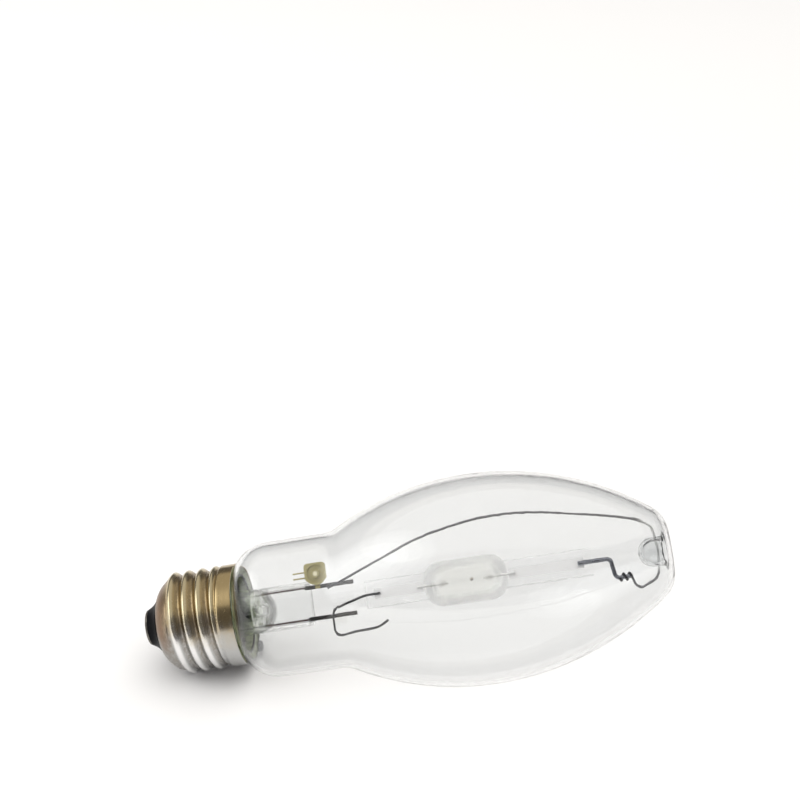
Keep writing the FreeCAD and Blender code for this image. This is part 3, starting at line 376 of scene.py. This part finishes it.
BRIGHT_TUNGSTEN = (0.95, 0.95, 0.94, 1.0)
TUNGSTEN = (0.84, 0.84, 0.83, 1.0)
DARK_MOLYBDENUM = (0.12, 0.125, 0.14, 1.0)
MOLYBDENUM = (0.34, 0.35, 0.39, 1.0)
PALE_FOIL_PAINTED_REFLECTION = (0.92, 0.92, 0.92, 1.0)
WHITE_FOIL_PAINTED_REFLECTION = (0.98, 0.98, 0.97, 1.0)

tungsten = Finish("swaged_tungsten", Metallic=1.0)
place = tungsten.along_lamp()
swage_marks = tungsten.noise(place, 4.0, detail=4.0, roughness=0.6)
tungsten.drive("Base Color", tungsten.blend(swage_marks, TUNGSTEN, BRIGHT_TUNGSTEN))
tungsten.drive("Roughness", 0.35 + swage_marks * 0.2)
tungsten.relief(swage_marks, strength=0.3)
tungsten.dress("electrode_base", "electrode_dome", "electrode_coil_base", "electrode_coil_dome")
wet("electrode_base", "electrode_dome")

molybdenum = Finish("bright_molybdenum", Metallic=1.0)
place = molybdenum.along_lamp()
draw_marks = molybdenum.noise(place, 3.0, detail=4.0, roughness=0.6)
molybdenum.drive("Base Color", molybdenum.blend(draw_marks, DARK_MOLYBDENUM, MOLYBDENUM))
molybdenum.drive("Roughness", 0.16 + draw_marks * 0.2)
molybdenum.relief(draw_marks, strength=0.2)
molybdenum.dress("arc_lead_dome")
wet("arc_lead_dome")

foil_metal = Finish("rolled_molybdenum_foil", Metallic=0.1)
place = foil_metal.along_lamp()
roll_marks = foil_metal.noise(place, 2.0, detail=4.0, roughness=0.6)
# The foils' diffuse near-white colour is a painted reflection laid over the pale metal of the foil.
foil_metal.drive("Base Color", foil_metal.blend(roll_marks, PALE_FOIL_PAINTED_REFLECTION, WHITE_FOIL_PAINTED_REFLECTION))
foil_metal.drive("Roughness", 0.45 + roll_marks * 0.2)
foil_metal.dress("foil_base", "foil_dome")
wet("foil_base", "foil_dome")

# Dose bead
# Mercury with a crust of salts, which clings to the chamber wall as the lamp cools. The bare metal is
# mirror-bright and the crust is dull and brownish.

MERCURY = (0.80, 0.80, 0.81, 1.0)
SALT_CRUST = (0.50, 0.44, 0.36, 1.0)

dose = Finish("dose_bead_metal", Metallic=1.0)
place = dose.along_lamp()
crust = dose.step(dose.noise(place, 3.0, detail=4.0), 0.45, 0.62)
dose.drive("Base Color", dose.blend(crust, MERCURY, SALT_CRUST))
dose.drive("Roughness", 0.12 + crust * 0.5)
dose.dress("dose_bead")

# Frame wire
# Nickel-plated iron wire, bowed by hand from post A past the arc tube to the dimple, and wound twice on
# the arc tube's lead. It is dark satin grey with drawing marks, burned black at the weld and the wrap,
# and polished bright where it bears on the dimple.

WRAP_ACROSS = -0.2
WRAP_UP = -5.0
WRAP_RADII = (1.0, 1.8)
WELD_STATIONS = (58.0, 63.0)
POLISHED_STATIONS = (127.5, 131.5)
POLISHED_ABOVE = (-5.5, -3.0)
DARK_SATIN = (0.10, 0.10, 0.105, 1.0)
SATIN = (0.18, 0.18, 0.19, 1.0)
POLISHED_WIRE = (0.80, 0.80, 0.79, 1.0)
BURNED_WIRE = (0.025, 0.025, 0.028, 1.0)

frame_metal = Finish("satin_frame_wire", Specular_IOR_Level=0.15)
place = frame_metal.along_lamp()
station = frame_metal.part(place, "X")
across = frame_metal.part(place, "Y")
up = frame_metal.part(place, "Z")
draw_marks = frame_metal.noise(place, 4.0, detail=4.0, roughness=0.6)
weld_burn = 1 - frame_metal.step(station + draw_marks * 4.0, *WELD_STATIONS)
from_wrap = ((across - WRAP_ACROSS) ** 2.0 + (up - WRAP_UP) ** 2.0) ** 0.5
wrap_burn = 1 - frame_metal.step(from_wrap, *WRAP_RADII)
burned = weld_burn.larger(wrap_burn)
polished = frame_metal.step(station, *POLISHED_STATIONS) * frame_metal.step(up, *POLISHED_ABOVE)
satin = frame_metal.blend(draw_marks, DARK_SATIN, SATIN)
unburned = frame_metal.blend(polished, satin, POLISHED_WIRE)
frame_metal.drive("Base Color", frame_metal.blend(burned, unburned, BURNED_WIRE))
frame_metal.drive("Metallic", 0.8 - burned * 0.6)
frame_metal.drive("Roughness", 0.36 + draw_marks * 0.2)
frame_metal.relief(draw_marks, strength=0.2)
frame_metal.dress("frame_wire")

# Getter
# A little steel dish with a pressed ring and a raised centre, on a tab welded to post A, with a hairpin
# of wire on its back. Firing the getter left them olive, and the raised centre paler.

GETTER_STATION = 46.0
GETTER_UP = 7.3
CENTRE_RADII = (0.3, 0.9)
DARK_OLIVE = (0.30, 0.26, 0.10, 1.0)
OLIVE = (0.46, 0.41, 0.19, 1.0)
PALE_CENTRE = (0.80, 0.76, 0.55, 1.0)

getter = Finish("fired_getter_steel", Metallic=0.25)
place = getter.along_lamp()
station = getter.part(place, "X")
up = getter.part(place, "Z")
speckle = getter.noise(place, 4.0, detail=5.0, roughness=0.7)
off_centre = ((station - GETTER_STATION) ** 2.0 + (up - GETTER_UP) ** 2.0) ** 0.5
centre_spot = 1 - getter.step(off_centre + speckle.wander(0.6), *CENTRE_RADII)
fired = getter.blend(speckle, DARK_OLIVE, OLIVE)
getter.drive("Base Color", getter.blend(centre_spot, fired, PALE_CENTRE))
getter.drive("Roughness", 0.42 + speckle * 0.2)
getter.relief(speckle, strength=0.3)
getter.dress("getter_dish", "getter_tab", "getter_hairpin")

# Light that goes through the glass
# The clear pieces neither shade the table nor gather the studio's light on it, so the table behind them is
# as bright as the table beside them.

for name in ("envelope", "stem", "exhaust_tube", "arc_tube"):
    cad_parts[name].visible_shadow = False
    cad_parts[name].visible_diffuse = False

# Floor
# A plain white table without gloss, large enough to reach far behind the lamp from every side.

FLOOR_HALF = 4.0
TABLE_WHITE = (0.90, 0.90, 0.90, 1.0)

floor_mesh = bpy.data.meshes.new("floor")
floor_mesh.from_pydata([(-FLOOR_HALF, -FLOOR_HALF, 0), (FLOOR_HALF, -FLOOR_HALF, 0),
                        (FLOOR_HALF, FLOOR_HALF, 0), (-FLOOR_HALF, FLOOR_HALF, 0)], [], [(0, 1, 2, 3)])
floor = bpy.data.objects.new("floor", floor_mesh)
bpy.context.scene.collection.objects.link(floor)
table = Finish("white_table", Base_Color=TABLE_WHITE, Roughness=0.9, Specular_IOR_Level=0.1)
floor_mesh.materials.append(table.material)

# Studio light
# A wide, weak, warm ceiling, a white panel at the left that weakens towards its edge in four rings, and a
# fill light that only the table takes up, in a dark room.

WARM_WHITE = (1.0, 0.95, 0.86)
WHITE = (1.0, 1.0, 1.0)
ROOM_GREY = (0.16, 0.155, 0.16, 1.0)
LAMP_PLACE = (0.0, 0.0, 0.0)


def panel(name, place, aim, size, power, colour=WHITE, mirrored=True):
    """A round panel of light on a stand, turned towards its aim. Metal and glass mirror it, or don't."""
    light = bpy.data.lights.new(name, "AREA")
    light.shape = "DISK"
    light.size = size
    light.energy = power
    light.color = colour
    stand = bpy.data.objects.new(name, light)
    stand.location = place
    stand.rotation_euler = (Vector(aim) - Vector(place)).to_track_quat("-Z", "Y").to_euler()
    stand.visible_glossy = mirrored
    bpy.context.scene.collection.objects.link(stand)


panel("ceiling", (0.0, 1.3, 2.4), (0.0, 1.3, 0.0), size=6.8, power=62.0, colour=WARM_WHITE)
panel("left_core", (-1.220, -0.195, 0.732), LAMP_PLACE, size=0.8, power=0.9)
panel("left_inner", (-1.235, -0.198, 0.741), LAMP_PLACE, size=1.15, power=1.8)
panel("left_outer", (-1.25, -0.2, 0.75), LAMP_PLACE, size=1.5, power=3.1)
panel("left_edge", (-1.265, -0.202, 0.759), LAMP_PLACE, size=1.85, power=4.8)
panel("fill", (0.0, 0.2, 2.3), (0.0, 0.2, 0.0), size=5.6, power=68.0, mirrored=False)

room = bpy.data.worlds.new("dark_room")
room.use_nodes = True
room.node_tree.nodes["Background"].inputs["Color"].default_value = ROOM_GREY
room.node_tree.nodes["Background"].inputs["Strength"].default_value = 1.0
bpy.context.scene.world = room
bpy.context.scene.view_settings.view_transform = "Standard"

# Camera
# It stands in front of the lamp and looks down on it, as the photographer did.

EYE = Vector((0.00775, -0.31494, 0.23039))
AIM = Vector((-0.00626, 0.16024, 0.0))
FOCAL_LENGTH = 65.75
SENSOR_WIDTH = 36.0
NEAREST_SEEN = 0.01

lens = bpy.data.cameras.new("camera")
lens.lens = FOCAL_LENGTH
lens.sensor_width = SENSOR_WIDTH
lens.clip_start = NEAREST_SEEN
camera = bpy.data.objects.new("camera", lens)
camera.location = EYE
camera.rotation_euler = (AIM - EYE).to_track_quat("-Z", "Y").to_euler()
bpy.context.scene.collection.objects.link(camera)
bpy.context.scene.camera = camera

bpy.context.view_layer.update()
